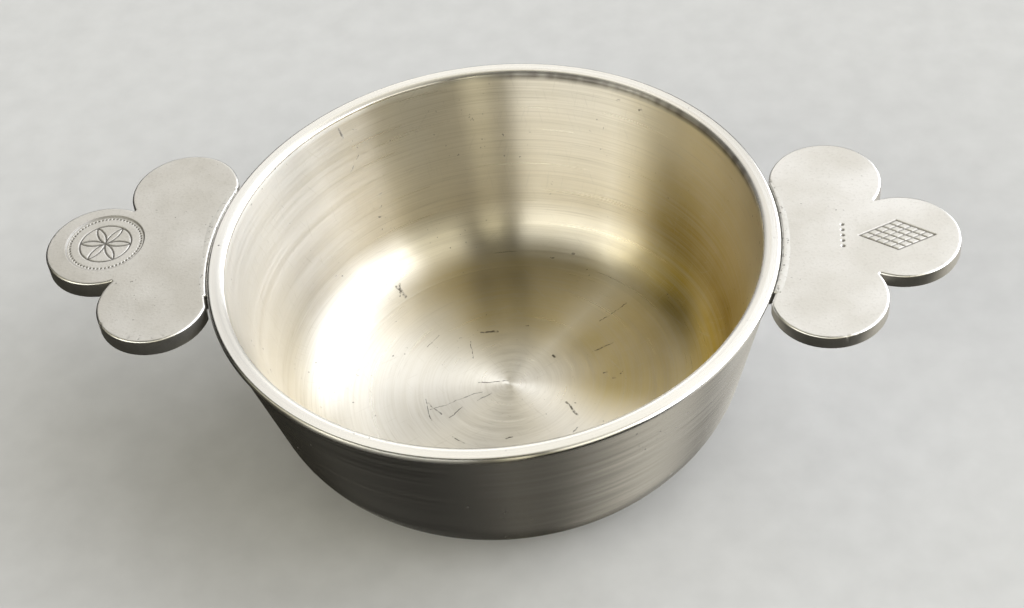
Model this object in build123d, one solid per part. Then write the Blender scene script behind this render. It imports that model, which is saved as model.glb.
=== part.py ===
from build123d import *
import math
import os

# Pewter porringer: a turned bowl with two cast trefoil ears soldered to its lip.
# Millimetres, +Z up, origin at the centre of the flat base, ears along X, front towards -Y.

# Bowl, outside
lip_diameter = 127.0        # over the beaded lip
bowl_height = 49.0          # base to the top of the lip
lip_height = 1.6            # outer side of the bead
lip_overhang = 0.65         # how far the bead stands out from the wall below it
lip_outer_bevel = 0.3       # worn upper outer edge of the bead
wall_slope = 13.5           # degrees that the wall leans in towards the base
base_corner_radius = 21.75  # rounded corner between wall and base

# Bowl, inside
rim_wall = 3.2              # wall under the lip, measured level
foot_wall = 2.5             # wall at the floor, measured level
floor_thickness = 2.5
inside_corner_radius = 15.5
lip_flat = 0.95             # level part of the lip's top, inside its worn edge
lip_fall = 0.6              # how far the rest of the top falls towards the inside

# Ears, measured outwards from the edge of the lip
base_lobe_reach = 9.8       # centres of the two lobes beside the bowl
base_lobe_spread = 36.2     # distance between those two centres
base_lobe_radius = 12.4
outer_lobe_reach = 25.7     # centre of the outer lobe
outer_lobe_radius = 12.6
notch_radius = 0.2          # rounding in the notches between lobes
ear_edge_bevel = 0.35       # worn upper and lower edges of an ear
ear_drop = 0.35             # top of the ears below the top of the lip
left_ear_thickness = 4.3
right_ear_thickness = 3.5
right_ear_shift = 1.0       # how far the right ear sits off centre, towards the back

# Round struck panel on the left ear
panel_reach = 25.0          # centre, outwards from the edge of the lip
panel_shift = 0.85          # centre, towards the back
panel_radius = 9.1
panel_depth = 0.35

# Solder
solder_gap = 0.6            # joint between lip and ear
solder_cover = 0.9          # how far the bead runs over the top of the ear
solder_crown = 0.15         # height of the bead above the ear
solder_fillet = 2.0         # slope under the ear
solder_rear_angle = 17.0    # degrees from the ear's middle to the bead's rear end
solder_front_angle = 14.5   # degrees from the ear's middle to the bead's front end

# Sizes that follow from these
lip_radius = lip_diameter / 2
wall_top = bowl_height - lip_height
wall_top_radius = lip_radius - lip_overhang
lean = math.tan(math.radians(wall_slope))
ear_top = bowl_height - ear_drop
seat_radius = lip_radius + solder_gap


def wall_radius(height):
    """Outer radius of the straight wall at a height."""
    return wall_top_radius - (wall_top - height) * lean


def from_axis(point):
    """Distance of a point from the bowl's axis."""
    return math.hypot(point.X, point.Y)


def turned(points):
    """Solid of revolution about Z, from an outline in radius and height."""
    outline = Polyline(*[(radius, 0, height) for radius, height in points], close=True)
    return revolve(make_face(outline), Axis.Z)


def ring_edge(solid, radius, height):
    """The circular edge about Z that lies at a radius and height."""
    def miss(edge):
        point = edge @ 0.5
        return math.hypot(from_axis(point) - radius, point.Z - height)
    return min(solid.edges().filter_by(GeomType.CIRCLE), key=miss)


def make_blank():
    """The bowl before it is hollowed: base, wall and beaded lip."""
    foot_radius = wall_radius(0)
    blank = turned([
        (0, 0),
        (foot_radius, 0),
        (wall_top_radius, wall_top),
        (lip_radius, wall_top),
        (lip_radius, bowl_height),
        (0, bowl_height),
    ])
    blank = fillet(ring_edge(blank, foot_radius, 0), base_corner_radius)
    return chamfer(ring_edge(blank, lip_radius, bowl_height), lip_outer_bevel)


def make_bowl(blank):
    """The blank hollowed to a smooth inside, with the top of the lip falling away inwards."""
    floor_radius = wall_radius(floor_thickness) - foot_wall
    mouth_radius = wall_top_radius - rim_wall
    crest_radius = lip_radius - lip_outer_bevel - lip_flat
    cavity = turned([
        (0, floor_thickness),
        (floor_radius, floor_thickness),
        (mouth_radius, bowl_height - lip_fall),
        (crest_radius, bowl_height),
        (0, bowl_height),
    ])
    return blank - fillet(ring_edge(cavity, floor_radius, floor_thickness), inside_corner_radius)


def make_ear(thickness, shift=0):
    """Trefoil plate on the +X side, its inner end round to the lip, shifted along Y by its seat."""
    base_x = lip_radius + base_lobe_reach
    outer_x = lip_radius + outer_lobe_reach
    half_spread = base_lobe_spread / 2
    trefoil = Polygon(
        (0, half_spread),
        (0, -half_spread),
        (base_x, -half_spread),
        (outer_x, 0),
        (base_x, half_spread),
        align=None,
    )
    trefoil += Pos(outer_x, 0) * Circle(outer_lobe_radius)
    for side in (1, -1):
        trefoil += Pos(base_x, side * half_spread) * Circle(base_lobe_radius)
    # Swelling the outline and drawing it in again rounds the notches alone
    trefoil = offset(offset(trefoil, notch_radius), -notch_radius)
    outline = Pos(0, shift) * trefoil - Circle(seat_radius)
    ear = extrude(Pos(0, 0, ear_top - thickness) * outline, amount=thickness)
    rims = ear.faces().filter_by(Axis.Z).edges()
    worn = rims.filter_by(lambda edge: from_axis(edge @ 0.5) > seat_radius + ear_edge_bevel)
    return chamfer(worn, ear_edge_bevel)


def make_panel():
    """The shallow round recess struck into the outer lobe of the left ear, drawn on the +X side."""
    centre = Pos(lip_radius + panel_reach, panel_shift, ear_top)
    return centre * Cylinder(panel_radius, 2 * panel_depth)


def make_seam(blank, thickness):
    """Solder on the +X side: it fills the joint, crowns the top and slopes under the ear."""
    ear_bottom = ear_top - thickness
    slope_bottom = ear_bottom - solder_fillet
    cover_radius = seat_radius + solder_cover
    inner_radius = wall_radius(slope_bottom) - foot_wall / 2
    section = Polyline(
        (inner_radius, 0, ear_top),
        (lip_radius, 0, ear_top),
        (seat_radius, 0, ear_top + solder_crown),
        (cover_radius, 0, ear_top),
        (seat_radius, 0, ear_top),
        (seat_radius, 0, ear_bottom),
        (seat_radius + solder_fillet, 0, ear_bottom),
        (wall_radius(slope_bottom), 0, slope_bottom),
        (inner_radius, 0, slope_bottom),
        close=True,
    )
    start = Rot(0, 0, -solder_front_angle) * make_face(section)
    run = revolve(start, Axis.Z, solder_front_angle + solder_rear_angle)
    return run - blank


def to_left(piece):
    """The same piece on the -X side."""
    return mirror(piece, about=Plane.YZ)


blank = make_blank()
pieces = {
    "bowl": make_bowl(blank),
    "left_ear": to_left(make_ear(left_ear_thickness) - make_panel()),
    "right_ear": make_ear(right_ear_thickness, right_ear_shift),
    "left_solder_seam": to_left(make_seam(blank, left_ear_thickness)),
    "right_solder_seam": make_seam(blank, right_ear_thickness),
}

os.makedirs("parts", exist_ok=True)
for name, piece in pieces.items():
    piece.label = name
    export_step(piece, f"parts/{name}.step")
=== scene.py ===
import math

import bmesh
import bpy
from mathutils import Matrix, Vector, noise
from mathutils.geometry import delaunay_2d_cdt


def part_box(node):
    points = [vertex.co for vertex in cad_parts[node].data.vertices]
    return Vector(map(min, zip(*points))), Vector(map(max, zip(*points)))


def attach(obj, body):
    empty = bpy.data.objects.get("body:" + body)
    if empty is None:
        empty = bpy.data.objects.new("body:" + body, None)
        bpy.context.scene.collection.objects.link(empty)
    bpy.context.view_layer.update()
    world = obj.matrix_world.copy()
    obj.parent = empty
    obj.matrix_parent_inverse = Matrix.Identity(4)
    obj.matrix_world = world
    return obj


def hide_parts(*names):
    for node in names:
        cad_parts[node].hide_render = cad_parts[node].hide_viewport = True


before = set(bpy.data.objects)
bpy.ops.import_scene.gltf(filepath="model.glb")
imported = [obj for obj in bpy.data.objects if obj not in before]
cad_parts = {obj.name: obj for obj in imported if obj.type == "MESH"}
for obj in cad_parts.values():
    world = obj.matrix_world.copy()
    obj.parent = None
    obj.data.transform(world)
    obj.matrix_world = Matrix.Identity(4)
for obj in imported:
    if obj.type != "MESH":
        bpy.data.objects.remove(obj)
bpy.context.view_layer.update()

# A pewter porringer on a pale floor. Metres, +Z up, ears along X, front towards -Y.

MM = 0.001
TURN = 2 * math.pi

# Places and sizes taken from the frame
_, bowl_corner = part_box("bowl")
left_low, left_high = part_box("left_ear")
right_low, right_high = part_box("right_ear")
lip_radius = min(bowl_corner.x, bowl_corner.y)
bowl_height = bowl_corner.z
ear_top = right_high.z
ear_end = -left_low.x
ear_half_width = left_high.y

# Bowl, outside
lip_height = 1.6 * MM
lip_overhang = 0.65 * MM
bead_height = 1.0 * MM
bead_lower_round = 0.15 * MM
lip_outer_round = 0.8 * MM
lip_flat = 1.4 * MM
lip_fall = 0.5 * MM
wall_slope = math.radians(13.5)
base_corner_radius = 21.75 * MM

# Bowl, inside
rim_wall = 3.2 * MM
foot_wall = 2.5 * MM
floor_thickness = 2.5 * MM
inside_corner_radius = 15.5 * MM
lip_inner_round = 0.5 * MM
lip_line_drop = 0.3 * MM
lip_line_width = 0.25 * MM
lip_line_depth = 0.03 * MM
floor_ring_radius = 39.9 * MM
floor_ring_width = 0.35 * MM
floor_ring_depth = 0.02 * MM
centre_mark_radius = 0.7 * MM
centre_mark_depth = 0.1 * MM

# Mesh of the bowl: segments round it, spacing of its rings and steps of its arcs
bowl_segments = 512
base_spacing = 4 * MM
ring_spacing = 1.2 * MM
lip_spacing = 0.3 * MM
base_corner_steps = 26
bead_steps = 5
lip_outer_steps = 12
lip_fall_steps = 20
lip_inner_steps = 10
inside_corner_steps = 30

# Unevenness of the bowl: its depth, its waves round and up the wall, and the radius where it is full
bowl_unevenness = 0.02 * MM
uneven_around = 1.3
uneven_up = 25 * MM
uneven_full_radius = 30 * MM

# Tarnish and painted warm reflection of the inside: middle, half width and fade in degrees round the bowl,
# and shares on floor and wall
tarnish_patches = {
    "right": (18, 42, 24, 0.75, 1.0),
    "back": (92, 44, 26, 0.7, 0.38),
}

# Wear, tarnish, painted reflection and painted shade of the bowl. A pair holds the radii, heights, angles or
# distances between which a share changes
outside_wear = 0.75
floor_to_wall = (40 * MM, 48 * MM)
wall_to_lip = (52 * MM, 59 * MM)
floor_tarnish_rise = (2 * MM, 24 * MM)
floor_tarnish_least = 0.06
lip_tarnish_loss = 0.3
dull_azimuth = math.radians(182)
dull_fade = (0.5, 0.95)
dull_rise = (8 * MM, 20 * MM)
# Painted shade that greys the left wall's top and the floor beside it, to dim the light's reflection there
left_shade_azimuth = math.radians(170)
left_shade_fade = (0.6, 1.1)
left_shade_most = 0.35
left_shade_wall_rise = (25 * MM, 45 * MM)
left_shade_floor_rise = (6 * MM, 18 * MM)
left_shade_floor_fade = (28 * MM, 38 * MM)
# Painted dark reflection along the lip's inner edge, most at the back right
edge_dirt_azimuth = math.radians(56)
edge_dirt_fade = (0.5, 0.95)
edge_dirt_reach = (0.6 * MM, 1.05 * MM)
# Painted shade on the bead's front
bead_dirt_azimuth = math.radians(238)
bead_dirt_fade = (0.6, 0.85)
bead_dirt_start = 0.5 * MM
bead_dirt_full = 0.1 * MM
# Painted shadow under the bead
corner_dirt_reach = (0.1 * MM, 0.5 * MM)
lip_rub_start = 0.8 * MM
lip_rub_full = 0.2 * MM

# Ears
base_lobe_reach = 9.8 * MM
base_lobe_radius = 12.4 * MM
outer_lobe_radius = 12.6 * MM
notch_radius = 0.2 * MM
ear_edge_width = 0.55 * MM
ear_edge_drop = 0.45 * MM
ear_rub_width = 0.35 * MM
ear_unevenness = 0.07 * MM
ear_wave = 11 * MM

# Mesh of the ears: steps of their arcs, grids over their tops and undersides, and margins round these
lobe_steps = 120
notch_steps = 10
tip_steps = 70
seat_steps = 60
edge_steps = 8
ear_grid = 0.6 * MM
ear_margin = 1.5 * MM
underside_grid = 3 * MM
underside_margin = 1 * MM
seat_margin = 0.1 * MM
strike_grid = 0.12 * MM
struck_margin = 0.4 * MM
panel_margin = 0.3 * MM
merge_distance = 1e-7

# Round panel on the left ear
panel_reach = 25.0 * MM
panel_shift = 0.85 * MM
panel_radius = 9.1 * MM
panel_depth = 0.35 * MM
panel_slope = 0.3 * MM
panel_dirt_start = 0.5 * MM
panel_dirt_full = 0.2 * MM

# Struck work in that panel: a ring of beads and a flower of six petals
bead_ring_radius = 8.15 * MM
bead_count = 60
bead_size = 0.64 * MM
bead_flat = 0.1 * MM
bead_depth = 0.2 * MM
rosette_radius = 5.9 * MM
rosette_line = 0.46 * MM
rosette_depth = 0.16 * MM

# Struck work on the right ear: a hatched lozenge and a row of punches, placed from the outer lobe's centre
lozenge_inset = 1.0 * MM
lozenge_shift = 0.3 * MM
lozenge_reach = Vector((8.0 * MM, 4.6 * MM))
lozenge_line = 0.5 * MM
lozenge_depth = 0.22 * MM
lozenge_cells = 5
punch_inset = 12.6 * MM
punch_spacing = 1.7 * MM
punch_count = 5
punch_size = 0.95 * MM

# Nicks in an ear's top, drawn on the +X side: place, width and depth in millimetres, and dirt
left_nicks = (
    (83.6, -25.1, 1.5, 0.25, 0.3),
    (66.9, -27.3, 0.7, 0.10, 0.7),
    (68.6, -28.4, 0.6, 0.10, 0.7),
    (70.9, -29.2, 0.7, 0.10, 0.7),
    (73.8, -29.5, 0.6, 0.10, 0.7),
    (76.2, -29.1, 0.7, 0.10, 0.7),
    (101.0, 3.2, 0.6, 0.10, 0.7),
)
right_nicks = (
    (76.5, -30.0, 1.2, 0.08, 0.1),
    (78.5, -29.5, 1.4, 0.08, 0.1),
    (76.0, -24.9, 1.2, 0.05, 0.0),
    (96.3, -8.0, 0.6, 0.08, 0.7),
    (97.0, -9.0, 0.6, 0.08, 0.7),
)

# Solder
solder_gap = 0.6 * MM
solder_rear_angle = math.radians(17.0)
solder_front_angle = math.radians(14.5)
solder_line = 0.2 * MM      # bare line between the lip and the run
solder_crown = 0.04 * MM
solder_fillet = 2.0 * MM
solder_cover = 0.7 * MM     # how far the crown runs over the ear
solder_feather = 2.2 * MM   # thin outer edge, just under the ear's top
solder_depth = 0.6 * MM     # how deep the hidden points lie in the joint
solder_bury = 0.8 * MM      # how far the hidden side lies in the wall
solder_end_share = 0.35
solder_taper = math.radians(3)
solder_roughness = 0.08 * MM
solder_lump_degrees = 1.7
solder_rough_degrees = 0.8
solder_steps = 160

# Scratches and pits of the floor: x, y, length, heading in degrees and width, in millimetres
floor_marks = (
    (-30, 30, 3.4, -45, 1.0),
    (-30.5, 30.5, 3.4, 98, 0.6),
    (-6.6, 17, 4, 9, 0.7),
    (-10.3, 11, 6, 100, 0.25),
    (9.8, 9, 1, 125, 0.7),
    (23.4, 23.7, 9, 43, 0.35),
    (-4, 0.5, 7, 6, 0.35),
    (-5.8, -4.4, 4, 40, 0.25),
    (-17.2, -8.2, 5, -49, 0.35),
    (-18.6, -8.5, 7, -75, 0.25),
    (-12.3, -9.2, 4, 50, 0.3),
    (15.2, -7.8, 5, -59, 0.6),
    (21.7, 11.9, 5, 32, 0.3),
    (-20, 14, 5, 53, 0.25),
    (-10.5, -17.8, 3.5, -31, 0.3),
    (1.4, -17.1, 1.5, 23, 0.4),
    (12.7, 42.7, 0.6, 0, 0.6),
    (7.4, 42.2, 1, 0, 0.4),
    (22.3, 3.5, 0.8, 20, 0.5),
    (24.5, 1.8, 0.6, 0, 0.45),
    (2.6, 19.1, 0.8, 0, 0.4),
    (16.6, -14.3, 1.5, 60, 0.4),
    (-12.4, -5.5, 13, 26, 0.25),
)

# Marks of the inside wall: azimuth, height, length, lean and width, in degrees and millimetres
wall_marks = (
    (133.8, 45, 2.5, 85, 0.9),
    (130, 44.2, 1.1, 30, 0.4),
    (133, 35.7, 5.4, -40, 0.35),
    (129.5, 25.3, 3.4, 8, 0.4),
    (143.3, 25.5, 0.8, 0, 0.5),
    (165.6, 47, 0.6, 0, 0.5),
    (166.2, 35.3, 2.9, -78, 0.4),
    (64.4, 45.2, 0.8, -30, 0.6),
    (76.4, 35.3, 1, -10, 0.5),
    (68.7, 15.2, 0.5, 0, 0.5),
    (58.3, 44.5, 0.7, -45, 0.6),
)
mark_bend = 1.6 * MM
mark_wobble = 0.5 * MM
floor_mark_top = 9 * MM

# Finish: pitch of the turned lines, size of fine scratches and file strokes, and depth of the bumps
fine_pitch = 0.4 * MM
coarse_pitch = 1.1 * MM
cut_pitch = 0.35 * MM
lined_rise = (4 * MM, 14 * MM)
scratch_length = 8 * MM
scratch_width = 0.3 * MM
stroke_length = 5 * MM
stroke_width = 0.25 * MM
turned_bump = 0.006 * MM
cast_bump = 0.025 * MM
solder_bump = 0.03 * MM

# Floor
floor_reach = 4.0
floor_level = -0.02 * MM

# Light of the room. A panel lies between two azimuths and two elevations in degrees, each pair with the
# softness of its edges, and has a brightness and a colour
room_panels = {
    "window": ((-23, 69), 3, (12, 56), 14, 3.6, (0.97, 1.0, 1.05)),
    "window_side": ((-35, -23), 3, (12, 56), 14, 3.5, (1.0, 1.0, 0.98)),
    "window_edge": ((-10, -7), 1, (12, 56), 14, 3.0, (1.0, 1.0, 1.0)),
    "low_window": ((8, 70), 12, (0, 16), 6, 2.1, (1.0, 1.0, 0.98)),
    "back_window": ((86, 110), 6, (8, 28), 6, 1.0, (1.0, 0.99, 0.95)),
    "back_wall": ((72, 128), 8, (18, 60), 6, 0.95, (1.0, 0.98, 0.93)),
    "back_ceiling": ((70, 130), 15, (52, 86), 8, 0.55, (1.0, 0.95, 0.76)),
    "left_wall": ((168, 214), 10, (26, 56), 8, 0.9, (1.0, 0.95, 0.72)),
    "front_left_wall": ((200, 264), 4, (18, 48), 8, 2.3, (1.0, 0.985, 0.88)),
    "front_wall": ((264, 296), 6, (8, 46), 8, 0.36, (1.0, 0.94, 0.68)),
    "front_strip": ((273, 284), 3, (0, 44), 6, 1.05, (1.0, 0.94, 0.68)),
    "front_right_wall": ((296, 326), 6, (20, 60), 8, 1.45, (1.0, 0.97, 0.80)),
    "ceiling": ((-60, 70), 20, (58, 80), 8, 0.7, (1.0, 0.95, 0.85)),
    "lower_right": ((-16, 30), 16, (-84, -4), 6, 0.63, (1.0, 0.95, 0.82)),
    "lower_back": ((25, 110), 8, (-55, -25), 5, 0.5, (1.0, 0.97, 0.90)),
    "lower_front": ((245, 350), 30, (-84, -60), 5, 0.11, (1.0, 0.95, 0.84)),
}
room_dimness = (0.012, 0.011, 0.009)

# Camera, measured from the centre of the lip
view_azimuth = math.radians(9.92)
view_elevation = math.radians(44.67)
view_roll = math.radians(-7.25)
view_distance = 422.9 * MM
view_right = 4.6 * MM
view_up = -13.94 * MM
view_lens = 67.38
view_sensor = 36.0

# Sizes that follow from these
wall_top = bowl_height - lip_height
wall_top_radius = lip_radius - lip_overhang
seat_radius = lip_radius + solder_gap
base_lobe = Vector((lip_radius + base_lobe_reach, ear_half_width - base_lobe_radius))
outer_lobe = Vector((ear_end - outer_lobe_radius, 0))
panel_centre = Vector((lip_radius + panel_reach, panel_shift))
lozenge_centre = Vector((outer_lobe.x - lozenge_inset, lozenge_shift))
punch_row_x = outer_lobe.x - punch_inset
lip_outer = Vector((lip_radius, bowl_height))
lip_bottom = lip_outer - Vector((0, bead_height))
lip_crest = Vector((lip_radius - lip_outer_round - lip_flat, bowl_height))
lip_inner = Vector((wall_top_radius - rim_wall, bowl_height - lip_fall))


def wall_radius(height):
    """Outer radius of the bowl's straight wall at a height."""
    return wall_top_radius - (wall_top - height) * math.tan(wall_slope)


under_lip = Vector((wall_radius(lip_bottom.y), lip_bottom.y))


# Outlines

def spread(start, end, steps):
    """Evenly spaced values from start to end, both included."""
    return [start + (end - start) * i / steps for i in range(steps + 1)]


def arc(centre, radius, start, end, steps):
    """Points on an arc between two angles, both ends included."""
    return [centre + radius * Vector((math.cos(a), math.sin(a))) for a in spread(start, end, steps)]


def heading(way):
    """Angle of a 2-D vector from +X."""
    return math.atan2(way.y, way.x)


def crossing(centre_a, radius_a, centre_b, radius_b):
    """Point where two circles cross, to the left of the way from a to b."""
    way = centre_b - centre_a
    ahead = way.normalized()
    along = (radius_a ** 2 - radius_b ** 2 + way.length_squared) / (2 * way.length)
    aside = math.sqrt(radius_a ** 2 - along ** 2)
    return centre_a + ahead * along + Vector((-ahead.y, ahead.x)) * aside


def straight(start, end, spacing):
    """Points on a straight run, both ends included, about a spacing apart."""
    steps = max(1, round((end - start).length / spacing))
    return [start.lerp(end, i / steps) for i in range(steps + 1)]


def rounded(before, corner, after, radius, steps):
    """Arc that rounds the corner of an outline, from the run before it to the run after it."""
    back = (before - corner).normalized()
    ahead = (after - corner).normalized()
    half = math.acos(max(-1.0, min(1.0, back.dot(ahead)))) / 2
    centre = corner + (back + ahead).normalized() * (radius / math.sin(half))
    first = heading(corner + back * (radius / math.tan(half)) - centre)
    last = heading(corner + ahead * (radius / math.tan(half)) - centre)
    turn = (last - first + math.pi) % TURN - math.pi
    return arc(centre, radius, first, first + turn, steps)


def smooth_step(value, low, high):
    """0 below low, 1 above high and a smooth rise between."""
    share = min(1.0, max(0.0, (value - low) / (high - low)))
    return share * share * (3 - 2 * share)


# Meshes

def new_piece(name, mesh, material, replaced):
    """A smooth closed piece that rides on the bowl's body and stands for one CAD node."""
    work = bmesh.new()
    work.from_mesh(mesh)
    bmesh.ops.recalc_face_normals(work, faces=work.faces)
    for face in work.faces:
        face.smooth = True
    work.to_mesh(mesh)
    work.free()
    piece = bpy.data.objects.new(name, mesh)
    bpy.context.scene.collection.objects.link(piece)
    mesh.materials.append(material)
    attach(piece, "root")
    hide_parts(replaced)
    return piece


def mesh_from(name, points, faces, **shares):
    """Mesh from points and faces, with named shares of wear, dirt, tarnish and painted shade at each point
    for its material.
    """
    mesh = bpy.data.meshes.new(name)
    mesh.from_pydata(points, [], faces)
    for share, values in shares.items():
        mesh.attributes.new(share, "FLOAT", "POINT").data.foreach_set("value", values)
    return mesh


def bridge(first, second, count):
    """Quads between two closed rings of points, given the number of each ring's first point."""
    return [
        (first + i, first + (i + 1) % count, second + (i + 1) % count, second + i)
        for i in range(count)
    ]


# Bowl

floor_edge = Vector((wall_radius(floor_thickness) - foot_wall, floor_thickness))
down_wall = (floor_edge - lip_inner).normalized()


def falling_top():
    """The lip's top from its crest, level there, down an arc and round its inner edge."""
    way = lip_inner - lip_crest
    radius = -way.length_squared / (2 * way.y)
    centre = lip_crest - Vector((0, radius))
    fall = arc(centre, radius, math.pi / 2, heading(lip_inner - centre), lip_fall_steps)
    edge = rounded(fall[-2], lip_inner, floor_edge, lip_inner_round, lip_inner_steps)
    clear = (edge[0] - lip_inner).length
    return [point for point in fall if (point - lip_inner).length > clear] + edge


lip_top = falling_top()
lip_line = lip_top[-1] + down_wall * lip_line_drop
lip_edge = lip_top[-4]  # low on the rounded inner edge


def turned_groove(place, ahead, width, depth):
    """Section of a fine groove turned across a run of the inside, at a point of the run."""
    into = Vector((-ahead.y, ahead.x))
    shape = ((-0.5, 0.0), (-0.25, 0.7), (0.0, 1.0), (0.25, 0.7), (0.5, 0.0))
    return [place + ahead * (offset * width) + into * (share * depth) for offset, share in shape]


def outside_profile():
    """Half section of the bowl from the centre of its base up to the crest of its lip."""
    foot = Vector((wall_radius(0), 0))
    corner = rounded(Vector((0, 0)), foot, under_lip, base_corner_radius, base_corner_steps)
    lower = rounded(under_lip, lip_bottom, lip_outer, bead_lower_round, bead_steps)
    upper = rounded(lip_bottom, lip_outer, lip_crest, lip_outer_round, lip_outer_steps)
    return [
        *straight(Vector((0, 0)), corner[0], base_spacing),
        *corner[1:],
        *straight(corner[-1], under_lip, ring_spacing)[1:],
        *lower,
        *upper,
        *straight(upper[-1], lip_crest, lip_spacing)[1:-1],
    ]


def inside_profile():
    """Half section from the crest of the lip down the inside to the centre of the floor."""
    floor_centre = Vector((0, floor_thickness))
    mark_edge = Vector((centre_mark_radius, floor_thickness))
    line = turned_groove(lip_line, down_wall, lip_line_width, lip_line_depth)
    corner = rounded(lip_inner, floor_edge, floor_centre, inside_corner_radius, inside_corner_steps)
    number = min(range(1, inside_corner_steps), key=lambda i: abs(corner[i].x - floor_ring_radius))
    ahead = (corner[number + 1] - corner[number - 1]).normalized()
    ring = turned_groove(corner[number], ahead, floor_ring_width, floor_ring_depth)
    return [
        *lip_top,
        *line,
        *straight(line[-1], corner[0], ring_spacing)[1:-1],
        *corner[:number],
        *ring,
        *corner[number + 1:],
        *straight(corner[-1], mark_edge, ring_spacing)[1:],
        floor_centre - Vector((0, centre_mark_depth)),
    ]


def away(angle, middle):
    """Size of the angle between two azimuths."""
    return abs((angle - middle + math.pi) % TURN - math.pi)


def tarnish_at(angle, radius):
    """How far the inside is painted golden-brown, partly as tarnish and partly as painted warm reflection and
    shade: most on the right wall, a little all over the floor.
    """
    up_wall = smooth_step(radius, *floor_to_wall)
    top = smooth_step(radius, *wall_to_lip)
    share = 0.0
    for middle, half, fade, on_floor, on_wall in tarnish_patches.values():
        aside = math.degrees(away(angle, math.radians(middle)))
        within = 1 - smooth_step(aside, half - fade, half + fade)
        floor_share = on_floor * smooth_step(radius, *floor_tarnish_rise)
        at_radius = floor_share + (on_wall - floor_share) * up_wall
        share = max(share, within * at_radius * (1 - lip_tarnish_loss * top))
    return share + floor_tarnish_least * (1 - up_wall)


def dullness_at(angle, height):
    """How much duller the left wall is than the rest."""
    at_left = 1 - smooth_step(away(angle, dull_azimuth), *dull_fade)
    return at_left * smooth_step(height, *dull_rise)


def greyness_at(ring, angle):
    """Painted shade on the left side, greyer on the top of its wall and on the floor beside it, which dims
    the reflection of the light there.
    """
    at_left = 1 - smooth_step(away(angle, left_shade_azimuth), *left_shade_fade)
    on_wall = left_shade_most * smooth_step(ring.y, *left_shade_wall_rise)
    on_floor = left_shade_most * smooth_step(ring.x, *left_shade_floor_rise) * (1 - smooth_step(ring.x, *left_shade_floor_fade))
    return at_left * max(on_wall, on_floor)


def dirt_at(ring, angle):
    """Painted dark reflection on the lip's inner edge, most at the back right, painted shade on the bead's
    front and a painted shadow under the bead.
    """
    way = Vector((math.cos(angle), math.sin(angle), 0))
    broken = smooth_step(noise.noise(way * 30), -0.3, 0.4)
    at_back_right = 1 - smooth_step(away(angle, edge_dirt_azimuth), *edge_dirt_fade)
    at_front = 1 - smooth_step(away(angle, bead_dirt_azimuth), *bead_dirt_fade)
    inner = 1 - smooth_step((ring - lip_edge).length, *edge_dirt_reach)
    corner = 1 - smooth_step((ring - under_lip).length, *corner_dirt_reach)
    outer = smooth_step(ring.x, lip_radius - bead_dirt_start, lip_radius - bead_dirt_full)
    # painted dark reflection on the inner edge, painted shadow under the bead and painted shade on its front
    inside = inner * (0.1 + at_back_right * (0.6 + 0.25 * broken))
    return max(inside, 0.8 * corner, 0.7 * outer * at_front)


def make_bowl(material):
    """The section turned about Z, a little uneven as a hand-turned bowl is."""
    outside = outside_profile()
    inside = inside_profile()
    rings = outside[1:] + inside[:-1]
    points, faces = [], []
    tarnish, dullness, greyness, dirt, worn = [], [], [], [], []
    for number, ring in enumerate(rings):
        is_inside = number >= len(outside) - 1
        handled = 0.0 if is_inside else outside_wear
        rubbed = max(handled, smooth_step(ring.y, lip_inner.y - lip_rub_start, lip_inner.y - lip_rub_full))
        for step in range(bowl_segments):
            angle = TURN * step / bowl_segments
            way = Vector((math.cos(angle), math.sin(angle), 0))
            lift = noise.noise(way * uneven_around + Vector((0, 0, ring.y / uneven_up)))
            shift = min(1.0, ring.x / uneven_full_radius) * bowl_unevenness * (lift - 1) / 2
            points.append(way * (ring.x + shift) + Vector((0, 0, ring.y)))
            tarnish.append(tarnish_at(angle, ring.x) if is_inside else 0.0)
            dullness.append(dullness_at(angle, ring.y) if is_inside else 0.0)
            greyness.append(greyness_at(ring, angle) if is_inside else 0.0)
            dirt.append(dirt_at(ring, angle))
            worn.append(rubbed)
    for row in range(len(rings) - 1):
        faces += bridge(row * bowl_segments, (row + 1) * bowl_segments, bowl_segments)
    last_ring = (len(rings) - 1) * bowl_segments
    for ring_start, height in ((0, outside[0].y), (last_ring, inside[-1].y)):
        points.append(Vector((0, 0, height)))
        for step in range(bowl_segments):
            following = ring_start + (step + 1) % bowl_segments
            faces.append((ring_start + step, following, len(points) - 1))
    for share in (tarnish, dullness, greyness, dirt, worn):
        share += [0.0, 0.0]
    mesh = mesh_from("bowl_turned", points, faces, tarnish=tarnish, dullness=dullness, greyness=greyness,
                     dirt=dirt, worn=worn)
    return new_piece("bowl_turned", mesh, material, "bowl")


# Ears

def half_outline(inset, shift):
    """Rear half of an ear's outline on the +X side, drawn in by an inset, from its heel to its tip."""
    lobe = base_lobe + Vector((0, shift))
    tip = outer_lobe + Vector((0, shift))
    lobe_radius = base_lobe_radius - inset
    notch = crossing(lobe, base_lobe_radius + notch_radius, tip, outer_lobe_radius + notch_radius)
    heel = crossing(Vector((0, 0)), seat_radius + inset, lobe, lobe_radius)
    first = heading(lobe - notch)
    last = first + (heading(tip - notch) - first) % TURN
    return [
        *arc(lobe, lobe_radius, heading(heel - lobe), heading(notch - lobe), lobe_steps),
        *arc(notch, notch_radius + inset, first, last, notch_steps)[1:-1],
        *arc(tip, outer_lobe_radius - inset, heading(notch - tip), 0, tip_steps),
    ]


def ear_outline(inset, shift):
    """Outline of an ear whose centre line lies a shift to the back, round from the rear end of its seat."""
    rear = half_outline(inset, shift)
    front = [Vector((point.x, -point.y)) for point in reversed(half_outline(inset, -shift))]
    seat = arc(Vector((0, 0)), seat_radius + inset, heading(front[-1]), heading(rear[0]), seat_steps)
    return rear + front[1:] + seat[1:-1]


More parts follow.
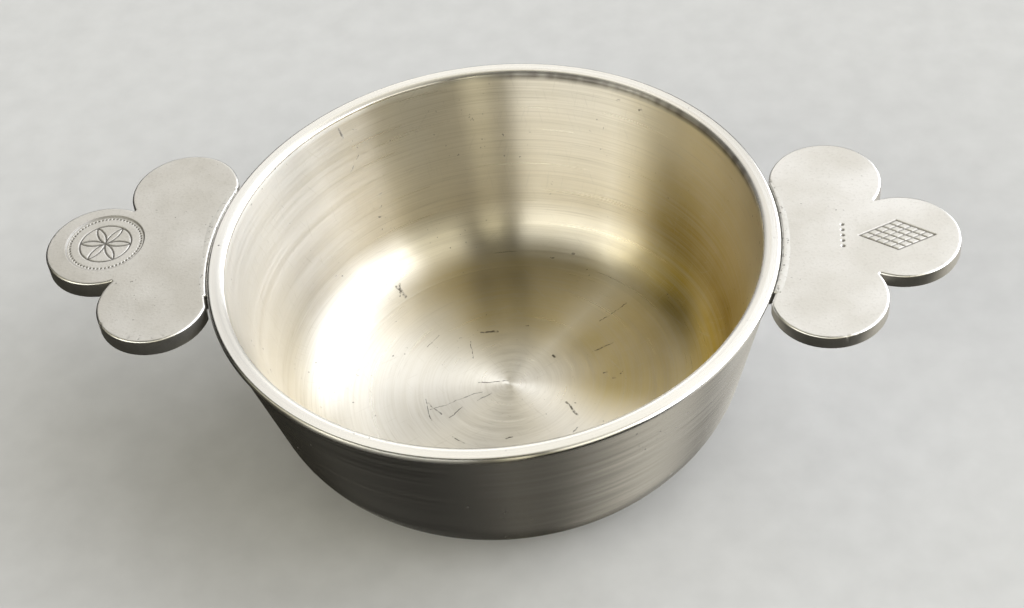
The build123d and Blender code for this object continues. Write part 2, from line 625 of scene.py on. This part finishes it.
def inside_ear(point, shift, margin):
    """Whether a point lies on the ear, at least a margin from its edge."""
    mirrored = Vector((point.x, abs(point.y - shift)))
    in_lobe = (mirrored - base_lobe).length < base_lobe_radius - margin
    in_tip = (mirrored - outer_lobe).length < outer_lobe_radius - margin
    along = (mirrored.x - base_lobe.x) / (outer_lobe.x - base_lobe.x)
    in_middle = mirrored.y < base_lobe.y * min(1.0, 1.0 - along)
    return point.length > seat_radius + margin and (in_lobe or in_tip or in_middle)


def grid_points(spacing, shift, margin):
    """Points of a level grid over the ear."""
    columns = round((ear_end - lip_radius) / spacing)
    rows = round(2 * ear_half_width / spacing)
    points = [
        Vector((lip_radius + column * spacing, shift - ear_half_width + row * spacing))
        for column in range(-4, columns + 1)
        for row in range(rows + 1)
    ]
    return [point for point in points if inside_ear(point, shift, margin)]


def edge_levels(bottom, top):
    """Inset, height and rubbing of the loops round an ear, up its rounded edges to the rim of its top."""
    quarter = spread(0, math.pi / 2, edge_steps)
    lower = [(1 - math.sin(turn), bottom + ear_edge_drop * (1 - math.cos(turn)), turn) for turn in quarter]
    upper = [(1 - math.cos(turn), top - ear_edge_drop * (1 - math.sin(turn)), turn) for turn in quarter]
    levels = [
        (ear_edge_width * share, height, math.sin(2 * turn) ** 0.5 if 0 < turn < quarter[-1] else 0.0)
        for share, height, turn in lower + upper
    ]
    return levels + [(ear_edge_width + ear_rub_width, top, 0.0)]


def fill_plate(loop, extra):
    """Triangles that fill a closed loop through extra points: places, their numbers in loop and triangles."""
    rim = [(i, (i + 1) % len(loop)) for i in range(len(loop))]
    inside_only = 1
    flat, _, triangles, sources, _, _ = delaunay_2d_cdt(loop + extra, rim, [], inside_only, merge_distance)
    return flat, [source[0] if source else len(loop) for source in sources], triangles


def uneven_at(place, side):
    """How far a filed ear's top lies off level at a point of it."""
    return ear_unevenness * noise.noise(Vector((place.x / ear_wave, place.y / ear_wave, 7 * side)))


def ear_mesh(name, side, low, high, strike, strike_points):
    """Plate with rounded edges. strike gives the height and dirt of struck work and nicks at a point."""
    bottom, top = low.z, high.z
    shift = (low.y + high.y) / 2
    centre_line = Vector((0, shift))

    def top_at(place):
        height, stain = strike(place - centre_line)
        return height + uneven_at(place, side), stain

    levels = edge_levels(bottom, top)
    loops = [ear_outline(inset, shift) for inset, _, _ in levels]
    count = len(loops[0])
    points, worn, dirt, faces = [], [], [], []
    for loop, (_, height, rubbed) in zip(loops, levels):
        for place in loop:
            is_top = height > top - ear_edge_drop
            lift, stain = top_at(place) if is_top else (0.0, 0.0)
            points.append(Vector((place.x, place.y, height + lift)))
            at_seat = place.length < seat_radius + ear_edge_width + seat_margin
            worn.append(0.0 if at_seat else rubbed)
            dirt.append(stain)
    for row in range(len(levels) - 1):
        faces += bridge(row * count, (row + 1) * count, count)
    underside_points = grid_points(underside_grid, shift, underside_margin)
    plates = ((bottom, 0, underside_points), (top, len(levels) - 1, strike_points))
    for height, row, extra in plates:
        flat, sources, triangles = fill_plate(loops[row], extra)
        number = []
        for place, source in zip(flat, sources):
            number.append(row * count + source if source < count else len(points))
            if source < count:
                continue
            lift, stain = top_at(place) if height == top else (0.0, 0.0)
            points.append(Vector((place.x, place.y, height + lift)))
            worn.append(0.0)
            dirt.append(stain)
        faces += [tuple(number[i] for i in triangle) for triangle in triangles]
    points = [Vector((side * point.x, point.y, point.z)) for point in points]
    return mesh_from(name, points, faces, worn=worn, dirt=dirt)


def polar_points(centre, radius, spacing):
    """Points on rings about a centre."""
    points = []
    for distance in spread(spacing, radius, round(radius / spacing)):
        count = max(12, round(TURN * distance / (1.3 * spacing)))
        points += arc(centre, distance, 0, TURN * (1 - 1 / count), count - 1)
    return points


def groove(distance, width):
    """1 in the middle of a cut line and 0 beyond its edges."""
    return 1 - smooth_step(abs(distance), 0.15 * width, 0.5 * width)


def nick_at(point, nicks):
    """Height and dirt of the small nicks in an ear at a point of it."""
    height, stain = 0.0, 0.0
    for x, y, width, depth, dirt in nicks:
        share = 1 - smooth_step((point - Vector((x, y)) * MM).length, 0.0, width / 2 * MM)
        height = min(height, -depth * MM * share)
        stain = max(stain, dirt * share)
    return height, stain


def rosette(place):
    """How deep the compass-drawn flower of six petals is cut at a point, from 0 to 1."""
    depth = groove(place.length - rosette_radius, rosette_line)
    if place.length < rosette_radius:
        for petal in range(6):
            centre = rosette_radius * Vector((math.cos(petal * TURN / 6), math.sin(petal * TURN / 6)))
            depth = max(depth, groove((place - centre).length - rosette_radius, rosette_line))
    return depth


def left_strike(point):
    """Height and dirt on the left ear: a sunk round panel with a ring of beads and a flower."""
    place = point - panel_centre
    sunk = 1 - smooth_step(place.length, panel_radius - panel_slope, panel_radius)
    if not sunk:
        return nick_at(point, left_nicks)
    step = TURN / bead_count
    turn = (heading(place) + step / 2) % step - step / 2
    bead = Vector((place.length - bead_ring_radius, turn * bead_ring_radius)).length
    hole = 1 - smooth_step(bead, bead_flat, bead_size / 2)
    cut = rosette(place)
    height = -panel_depth * sunk - bead_depth * hole - rosette_depth * cut
    rim = smooth_step(place.length, panel_radius - panel_dirt_start, panel_radius - panel_dirt_full)
    return height, max(hole, 0.9 * cut, 0.6 * rim)


def lozenge(place):
    """How deep the hatched lozenge is cut at a point, from 0 to 1."""
    across = Vector((place.x / lozenge_reach.x, place.y / lozenge_reach.y))
    slant = lozenge_reach.x * lozenge_reach.y / lozenge_reach.length
    edge = (abs(across.x) + abs(across.y) - 1) * slant
    depth = groove(edge, lozenge_line)
    if edge < 0:
        for lean in (across.x + across.y, across.x - across.y):
            cell = (lean + 1) / 2 * lozenge_cells
            line = (cell - round(cell)) * 2 * slant / lozenge_cells
            depth = max(depth, 0.8 * groove(line, 0.85 * lozenge_line))
    return depth


def right_strike(point):
    """Height and dirt on the right ear: a hatched lozenge and a row of round punches."""
    depth = lozenge(point - lozenge_centre)
    for number in range(punch_count):
        beside = (number - (punch_count - 1) / 2) * punch_spacing
        centre = Vector((punch_row_x, lozenge_centre.y + beside))
        hole = 1 - smooth_step((point - centre).length, 0.25 * punch_size, 0.5 * punch_size)
        depth = max(depth, hole)
    nick, stain = nick_at(point, right_nicks)
    return min(nick, -lozenge_depth * depth), max(stain, 0.75 * depth)


def struck_grid():
    """Fine points over the part of the right ear that is struck."""
    low = Vector((punch_row_x - punch_size, lozenge_centre.y - lozenge_reach.y - lozenge_line))
    high = lozenge_centre + lozenge_reach + Vector((lozenge_line, lozenge_line))
    columns = round((high.x - low.x) / strike_grid)
    rows = round((high.y - low.y) / strike_grid)
    return [
        Vector((low.x + column * strike_grid, low.y + row * strike_grid))
        for column in range(columns + 1)
        for row in range(rows + 1)
    ]


def make_left_ear(material):
    """The left ear, with fine points over its round panel."""
    fine_radius = panel_radius + panel_margin
    coarse = [
        point for point in grid_points(ear_grid, 0, ear_margin)
        if (point - panel_centre).length > fine_radius + struck_margin
    ]
    strike_points = coarse + polar_points(panel_centre, fine_radius, strike_grid)
    mesh = ear_mesh("ear_left", -1, left_low, left_high, left_strike, strike_points)
    return new_piece("ear_left", mesh, material, "left_ear")


def make_right_ear(material):
    """The right ear, a little off centre, with fine points over its struck lozenge and punches."""
    shift = (right_low.y + right_high.y) / 2
    fine = [point + Vector((0, shift)) for point in struck_grid()]
    margin = Vector((struck_margin, struck_margin))
    low, high = fine[0] - margin, fine[-1] + margin
    coarse = [
        point for point in grid_points(ear_grid, shift, ear_margin)
        if not (low.x < point.x < high.x and low.y < point.y < high.y)
    ]
    mesh = ear_mesh("ear_right", 1, right_low, right_high, right_strike, coarse + fine)
    return new_piece("ear_right", mesh, material, "right_ear")


# Solder

def seam_section(ear_bottom, lump, share):
    """Section of a solder run: a low crown from the lip onto the ear, and a slope under the ear."""
    crown = solder_crown * lump * share
    slope_bottom = ear_bottom - solder_fillet * share
    wall = wall_radius(slope_bottom)
    start = lip_radius + solder_line
    return [
        (start, ear_top - solder_depth),
        (start + 0.04 * MM, ear_top - 0.15 * MM),
        (start + 0.15 * MM, ear_top + 0.3 * crown),
        (seat_radius + 0.1 * MM, ear_top + crown),
        (seat_radius + solder_cover, ear_top + 0.8 * crown),
        (seat_radius + 1.6 * MM, ear_top - 0.03 * MM),
        (seat_radius + solder_feather, ear_top - 0.10 * MM),
        (seat_radius + solder_cover, ear_top - solder_depth),
        (seat_radius + solder_cover, ear_bottom + solder_depth),
        (seat_radius + solder_fillet * share, ear_bottom + 0.1 * MM),
        (seat_radius + 0.45 * solder_fillet * share, ear_bottom - 0.25 * solder_fillet * share),
        (wall + 0.5 * (seat_radius - wall), ear_bottom - 0.6 * solder_fillet * share),
        (wall + 0.05 * MM, slope_bottom),
        (wall - solder_bury, slope_bottom + 0.4 * MM),
        (under_lip.x - solder_bury, under_lip.y - solder_depth),
        (under_lip.x + 0.2 * MM, under_lip.y - 0.2 * MM),
    ]


def make_seam(name, side, ear_bottom, material, replaced):
    """Uneven hand-run solder along one ear's seat, thin at both ends."""
    points, faces = [], []
    for angle in spread(-solder_front_angle, solder_rear_angle, solder_steps):
        from_end = min(angle + solder_front_angle, solder_rear_angle - angle)
        share = solder_end_share + (1 - solder_end_share) * smooth_step(from_end, 0, solder_taper)
        lump = 1 + 0.5 * noise.noise(Vector((math.degrees(angle) / solder_lump_degrees, side * 5, 0)))
        section = seam_section(ear_bottom, lump, share)
        way = Vector((side * math.cos(angle), math.sin(angle), 0))
        for number, (radius, height) in enumerate(section):
            rough = noise.noise(Vector((math.degrees(angle) / solder_rough_degrees, number * 0.7, side * 3)))
            points.append(way * (radius + solder_roughness * rough) + Vector((0, 0, height)))
    count = len(section)
    for row in range(solder_steps):
        faces += bridge(row * count, (row + 1) * count, count)
    faces.append(tuple(range(count)))
    faces.append(tuple(range(solder_steps * count, (solder_steps + 1) * count)))
    return new_piece(name, mesh_from(name, points, faces), material, replaced)


# Materials

class Graph:
    """Node graph of a material or world: adds nodes and sets or links their inputs."""

    def __init__(self, owner, shader):
        owner.use_nodes = True
        self.owner = owner
        self.tree = owner.node_tree
        self.surface = self.tree.nodes[shader]

    def put(self, socket, value):
        if isinstance(value, bpy.types.NodeSocket):
            self.tree.links.new(value, socket)
        else:
            socket.default_value = value

    def add(self, kind, inputs, **settings):
        node = self.tree.nodes.new(kind)
        for key, value in settings.items():
            setattr(node, key, value)
        for key, value in inputs.items():
            self.put(node.inputs[key], value)
        return node

    def math(self, operation, first, second=0.0):
        return self.add("ShaderNodeMath", {0: first, 1: second}, operation=operation).outputs[0]

    def vector(self, operation, first, second=(0, 0, 0)):
        return self.add("ShaderNodeVectorMath", {0: first, 1: second}, operation=operation).outputs

    def scale(self, vector, factor):
        inputs = {0: vector, "Scale": factor}
        return self.add("ShaderNodeVectorMath", inputs, operation="SCALE").outputs["Vector"]

    def parts(self, vector):
        return self.add("ShaderNodeSeparateXYZ", {0: vector}).outputs

    def place(self):
        return self.add("ShaderNodeTexCoord", {}).outputs["Object"]

    def attribute(self, name):
        return self.add("ShaderNodeAttribute", {}, attribute_name=name).outputs["Fac"]

    def texture(self, vector, scale, detail):
        return self.add("ShaderNodeTexNoise", {"Vector": vector, "Scale": scale, "Detail": detail}).outputs

    def noise(self, vector, scale, detail=3.0):
        return self.texture(vector, scale, detail)["Fac"]

    def fit(self, value, low, high, to_low, to_high, soft=False):
        inputs = {"Value": value, "From Min": low, "From Max": high, "To Min": to_low, "To Max": to_high}
        kind = "SMOOTHSTEP" if soft else "LINEAR"
        return self.add("ShaderNodeMapRange", inputs, interpolation_type=kind).outputs["Result"]

    def wrap(self, value, low, high):
        return self.add("ShaderNodeMath", {0: value, 1: high, 2: low}, operation="WRAP").outputs[0]

    def mix(self, share, first, second):
        ends = [(*end, 1) if isinstance(end, tuple) else end for end in (first, second)]
        inputs = {0: share, 6: ends[0], 7: ends[1]}
        return self.add("ShaderNodeMix", inputs, data_type="RGBA").outputs[2]

    def bump(self, height, distance):
        return self.add("ShaderNodeBump", {"Height": height, "Distance": distance}).outputs["Normal"]

    def set(self, **values):
        for name, value in values.items():
            self.put(self.surface.inputs[name.replace("_", " ").title()], value)


def new_material(name):
    return Graph(bpy.data.materials.new(name), "Principled BSDF")


def turned_lines(graph, pitch, around):
    """Noise drawn out round the axis, as fine turned lines a pitch apart."""
    place = graph.place()
    level = graph.vector("MULTIPLY", place, (1, 1, 0))["Vector"]
    radius = graph.vector("LENGTH", level)["Value"]
    way = graph.vector("NORMALIZE", level)["Vector"]
    along = graph.math("MULTIPLY", graph.math("ADD", radius, graph.parts(place)["Z"]), 1 / pitch)
    lift = graph.add("ShaderNodeCombineXYZ", {"Z": along}).outputs[0]
    return graph.noise(graph.vector("ADD", graph.scale(way, around), lift)["Vector"], 1.0)


def hairlines(graph, turn, length, width):
    """Fine straight scratches that lie one way, here and there."""
    size = (length, width, length)
    inputs = {"Vector": graph.place(), "Rotation": (0, 0, math.radians(turn)), "Scale": size}
    drawn = graph.add("ShaderNodeMapping", inputs, vector_type="TEXTURE").outputs[0]
    return graph.fit(graph.noise(drawn, 1.0, 1.0), 0.68, 0.74, 0, 1)


def floor_mark(x, y, length, turn, width):
    """Both ends and the width of a mark on the floor, drawn level."""
    middle = Vector((x, y, 0)) * MM
    half = Vector((math.cos(math.radians(turn)), math.sin(math.radians(turn)), 0)) * length / 2 * MM
    return middle - half, middle + half, width * MM


def wall_mark(azimuth, height, length, lean, width):
    """Both ends and the width of a mark on the inside wall."""
    out = Vector((math.cos(math.radians(azimuth)), math.sin(math.radians(azimuth)), 0))
    around = Vector((-out.y, out.x, 0))
    up_wall = -(out * down_wall.x + Vector((0, 0, down_wall.y)))
    share = (lip_inner.y - height * MM) / (lip_inner.y - floor_thickness)
    middle = out * lip_inner.lerp(floor_edge, share).x + Vector((0, 0, height * MM))
    half = (around * math.cos(math.radians(lean)) + up_wall * math.sin(math.radians(lean))) * length / 2 * MM
    return middle - half, middle + half, width * MM


def on_mark(graph, place, start, end, width):
    """1 on a straight mark and 0 beyond its width."""
    way = end - start
    from_start = graph.vector("SUBTRACT", place, start)["Vector"]
    share = graph.vector("DOT_PRODUCT", from_start, way / way.length_squared)["Value"]
    nearest = graph.scale(way, graph.fit(share, 0, 1, 0, 1))
    distance = graph.vector("DISTANCE", from_start, nearest)["Value"]
    return graph.fit(distance, 0.2 * width, 0.5 * width, 1, 0)


def bowl_marks(graph):
    """The scratches and pits inside the bowl, ragged and broken up."""
    place = graph.place()
    ragged = place
    for scale, reach in ((220.0, mark_bend), (1100.0, mark_wobble)):
        stray = graph.vector("SUBTRACT", graph.texture(place, scale, 2.0)["Color"], (0.5, 0.5, 0.5))["Vector"]
        ragged = graph.vector("ADD", ragged, graph.scale(stray, reach))["Vector"]
    level = graph.vector("MULTIPLY", ragged, (1, 1, 0))["Vector"]
    marks = 0.0
    for mark in floor_marks:
        marks = graph.math("MAXIMUM", marks, on_mark(graph, level, *floor_mark(*mark)))
    marks = graph.math("MULTIPLY", marks, graph.math("LESS_THAN", graph.parts(place)["Z"], floor_mark_top))
    for mark in wall_marks:
        marks = graph.math("MAXIMUM", marks, on_mark(graph, ragged, *wall_mark(*mark)))
    return graph.math("MULTIPLY", marks, graph.fit(graph.noise(place, 1100.0), 0.38, 0.54, 0.2, 1))


def pits(graph):
    """Tiny pits, gathered here and there."""
    spots = graph.fit(graph.noise(graph.place(), 900.0, 2.0), 0.71, 0.76, 0, 1)
    return graph.math("MULTIPLY", spots, graph.fit(graph.noise(graph.place(), 60.0, 2.0), 0.5, 0.62, 0, 1))


# Colours of the turned metal
clean_tone = (0.90, 0.88, 0.835)
cloudy_tone = (0.86, 0.83, 0.77)
# tarnish together with painted warm reflection and shade, golden-brown
tarnish_tone = (0.35, 0.245, 0.02)
# painted shade for the left side
left_painted_shade_tone = (0.50, 0.495, 0.475)
worn_tone = (0.91, 0.90, 0.875)
scratch_tone = (0.50, 0.47, 0.40)
# pits and marks, and the painted shade, shadow and dark reflection at the lip
flaw_and_shade_tone = (0.09, 0.075, 0.06)
coarse_line_tone = (0.56, 0.52, 0.43)
fine_line_tone = (0.50, 0.46, 0.37)
cut_tone = (0.36, 0.32, 0.25)


def turned_pewter():
    """Lathe-turned pewter: satin drawn out across fine rings, with tarnish and painted warm reflection,
    painted shade, scratches and pits.
    """
    graph = new_material("turned_pewter")
    fine = turned_lines(graph, fine_pitch, 1.4)
    coarse = turned_lines(graph, coarse_pitch, 0.8)
    cuts = graph.fit(turned_lines(graph, cut_pitch, 2.6), 0.63, 0.69, 0, 1)
    cloud = graph.fit(graph.noise(graph.place(), 45.0), 0.35, 0.65, 0, 1)
    blotch = graph.fit(graph.noise(graph.place(), 60.0), 0.3, 0.7, 0.85, 1)
    pitted = pits(graph)
    # pits, marks and, on the bowl, the painted shade, shadow and dark reflection at the lip
    flaws_and_shade = graph.math("MAXIMUM", graph.math("MAXIMUM", pitted, graph.attribute("dirt")), bowl_marks(graph))
    crossed = graph.math("MAXIMUM", *[hairlines(graph, turn, scratch_length, scratch_width)
                                      for turn in (35, -50)])
    worn = graph.attribute("worn")
    lined = graph.fit(graph.parts(graph.place())["Z"], *lined_rise, 0.5, 1)
    lined = graph.math("SUBTRACT", lined, graph.math("MULTIPLY", graph.attribute("dullness"), 0.8))
    tone = graph.mix(cloud, clean_tone, cloudy_tone)
    # tarnish and painted warm reflection and shade on the right wall and the back of the floor
    tone = graph.mix(graph.math("MULTIPLY", graph.attribute("tarnish"), blotch), tone, tarnish_tone)
    # painted shade that greys the left wall's top and the floor beside it
    tone = graph.mix(graph.attribute("greyness"), tone, left_painted_shade_tone)
    for lines, dark in ((graph.fit(coarse, 0.46, 0.62, 0, 0.2), coarse_line_tone),
                        (graph.fit(fine, 0.48, 0.62, 0, 0.25), fine_line_tone),
                        (graph.math("MULTIPLY", cuts, 0.3), cut_tone)):
        tone = graph.mix(graph.math("MULTIPLY", lines, lined), tone, dark)
    tone = graph.mix(graph.math("MULTIPLY", crossed, 0.2), tone, scratch_tone)
    tone = graph.mix(graph.math("MULTIPLY", worn, 0.8), tone, worn_tone)
    # darkened by pits, marks and the painted shade at the lip
    colour = graph.mix(graph.math("MULTIPLY", flaws_and_shade, 0.8), tone, flaw_and_shade_tone)
    roughness = graph.fit(coarse, 0.3, 0.7, 0.27, 0.33)
    roughness = graph.math("ADD", roughness, graph.math("MULTIPLY", graph.attribute("dullness"), 0.045))
    roughness = graph.math("SUBTRACT", roughness, graph.math("MULTIPLY", worn, 0.12))
    roughness = graph.math("ADD", roughness, graph.math("MULTIPLY", flaws_and_shade, 0.25))
    height = graph.math("ADD", graph.math("MULTIPLY", fine, 0.5), graph.math("MULTIPLY", coarse, 0.6))
    height = graph.math("SUBTRACT", height, graph.math("MULTIPLY", pitted, 3.0))
    height = graph.math("SUBTRACT", height, graph.math("MULTIPLY", crossed, 0.4))
    tangent = graph.add("ShaderNodeTangent", {}, direction_type="RADIAL", axis="Z").outputs[0]
    graph.set(base_color=colour, metallic=1.0, roughness=roughness, tangent=tangent)
    graph.set(anisotropic=1.0, anisotropic_rotation=0.25, normal=graph.bump(height, turned_bump))
    return graph.owner


# Colours of the cast metal
cast_tone = (0.775, 0.76, 0.735)
cast_cloud_tone = (0.66, 0.64, 0.60)
cast_grain_tone = (0.50, 0.48, 0.44)
rubbed_tone = (0.90, 0.89, 0.86)
struck_dirt_tone = (0.07, 0.06, 0.05)


def cast_pewter():
    """Satin cast pewter with a fine grain, rubbed bright along the edges and dark in the struck work."""
    graph = new_material("cast_pewter")
    place = graph.place()
    cloud = graph.fit(graph.noise(place, 70.0), 0.35, 0.65, 0, 1)
    grain = graph.noise(place, 1700.0, 4.0)
    strokes = hairlines(graph, 80, stroke_length, stroke_width)
    worn = graph.attribute("worn")
    dirt = graph.math("MAXIMUM", graph.attribute("dirt"), graph.math("MULTIPLY", pits(graph), 0.8))
    tone = graph.mix(cloud, cast_tone, cast_cloud_tone)
    tone = graph.mix(graph.fit(grain, 0.55, 0.72, 0, 0.3), tone, cast_grain_tone)
    rubbed = graph.mix(graph.math("MULTIPLY", worn, 0.8), tone, rubbed_tone)
    colour = graph.mix(graph.math("MULTIPLY", dirt, 0.92), rubbed, struck_dirt_tone)
    roughness = graph.fit(grain, 0.3, 0.7, 0.40, 0.48)
    roughness = graph.math("SUBTRACT", roughness, graph.math("MULTIPLY", worn, 0.14))
    roughness = graph.math("ADD", roughness, graph.math("MULTIPLY", dirt, 0.3))
    height = graph.math("SUBTRACT", grain, graph.math("MULTIPLY", strokes, 0.12))
    graph.set(base_color=colour, metallic=1.0, roughness=roughness, normal=graph.bump(height, cast_bump))
    return graph.owner


# Colours of the solder
solder_tone = (0.76, 0.75, 0.725)
solder_lump_tone = (0.70, 0.685, 0.65)
speck_tone = (0.08, 0.07, 0.06)


def solder():
    """Hand-run solder with dark specks, dressed down almost level with the ear."""
    graph = new_material("solder")
    place = graph.place()
    lumps = graph.noise(place, 700.0)
    specks = graph.noise(place, 1800.0)
    tone = graph.mix(graph.fit(lumps, 0.35, 0.65, 0, 1), solder_tone, solder_lump_tone)
    colour = graph.mix(graph.fit(specks, 0.62, 0.70, 0, 0.8), tone, speck_tone)
    roughness = graph.fit(lumps, 0.3, 0.7, 0.36, 0.46)
    graph.set(base_color=colour, metallic=1.0, roughness=roughness, normal=graph.bump(lumps, solder_bump))
    return graph.owner


# Stage

def make_floor():
    """Plain pale floor under the bowl."""
    graph = new_material("floor")
    grain = graph.noise(graph.place(), 120.0)
    tone = graph.mix(graph.fit(grain, 0.3, 0.7, 0, 1), (0.52, 0.52, 0.52), (0.56, 0.56, 0.56))
    graph.set(base_color=tone, roughness=0.7)
    corners = [Vector((x * floor_reach, y * floor_reach, floor_level))
               for x, y in ((-1, -1), (1, -1), (1, 1), (-1, 1))]
    mesh = mesh_from("floor", corners, [(0, 1, 2, 3)])
    mesh.materials.append(graph.owner)
    floor = bpy.data.objects.new("floor", mesh)
    bpy.context.scene.collection.objects.link(floor)
    floor.visible_glossy = False


def make_camera():
    """Camera at the photograph's angle, rolled as it was held."""
    back = Vector((
        math.sin(view_azimuth) * math.cos(view_elevation),
        -math.cos(view_azimuth) * math.cos(view_elevation),
        math.sin(view_elevation),
    ))
    level = Vector((math.cos(view_azimuth), math.sin(view_azimuth), 0))
    upright = back.cross(level)
    right = math.cos(view_roll) * level + math.sin(view_roll) * upright
    up = math.cos(view_roll) * upright - math.sin(view_roll) * level
    data = bpy.data.cameras.new("camera")
    data.lens = view_lens
    data.sensor_width = view_sensor
    camera = bpy.data.objects.new("camera", data)
    camera.matrix_world = Matrix((right, up, back)).transposed().to_4x4()
    camera.location = back * view_distance + right * view_right + up * view_up + Vector((0, 0, bowl_height))
    bpy.context.scene.collection.objects.link(camera)
    bpy.context.scene.camera = camera


def panel_mask(graph, azimuth, elevation, sides, side_softness, ends, end_softness):
    """1 on a panel of the room, 0 off it, soft at its edges."""
    middle, half = sum(sides) / 2, (sides[1] - sides[0]) / 2
    low, high = ends
    aside = graph.math("ABSOLUTE", graph.wrap(graph.math("SUBTRACT", azimuth, middle), -180.0, 180.0))
    across = graph.fit(aside, half - side_softness, half + side_softness, 1, 0, soft=True)
    above = graph.fit(elevation, low - end_softness, low + end_softness, 0, 1, soft=True)
    below = graph.fit(elevation, high - end_softness, high + end_softness, 1, 0, soft=True)
    return graph.math("MULTIPLY", graph.math("MULTIPLY", across, above), below)


def make_light():
    """Soft light from all round: a broad window on the right, dimmer walls and little from below."""
    graph = Graph(bpy.data.worlds.new("room"), "Background")
    way = graph.parts(graph.add("ShaderNodeTexCoord", {}).outputs["Generated"])
    azimuth = graph.math("DEGREES", graph.math("ARCTAN2", way["Y"], way["X"]))
    elevation = graph.math("DEGREES", graph.math("ARCSINE", way["Z"]))
    light = room_dimness
    for *edges, brightness, colour in room_panels.values():
        mask = panel_mask(graph, azimuth, elevation, *edges)
        shine = graph.scale(tuple(brightness * part for part in colour), mask)
        light = graph.vector("ADD", light, shine)["Vector"]
    graph.put(graph.surface.inputs["Color"], light)
    bpy.context.scene.world = graph.owner


turned = turned_pewter()
cast = cast_pewter()
run = solder()
make_bowl(turned)
make_left_ear(cast)
make_right_ear(cast)
make_seam("seam_left", -1, left_low.z, run, "left_solder_seam")
make_seam("seam_right", 1, right_low.z, run, "right_solder_seam")
make_floor()
make_camera()
make_light()
bpy.context.scene.view_settings.view_transform = "Standard"
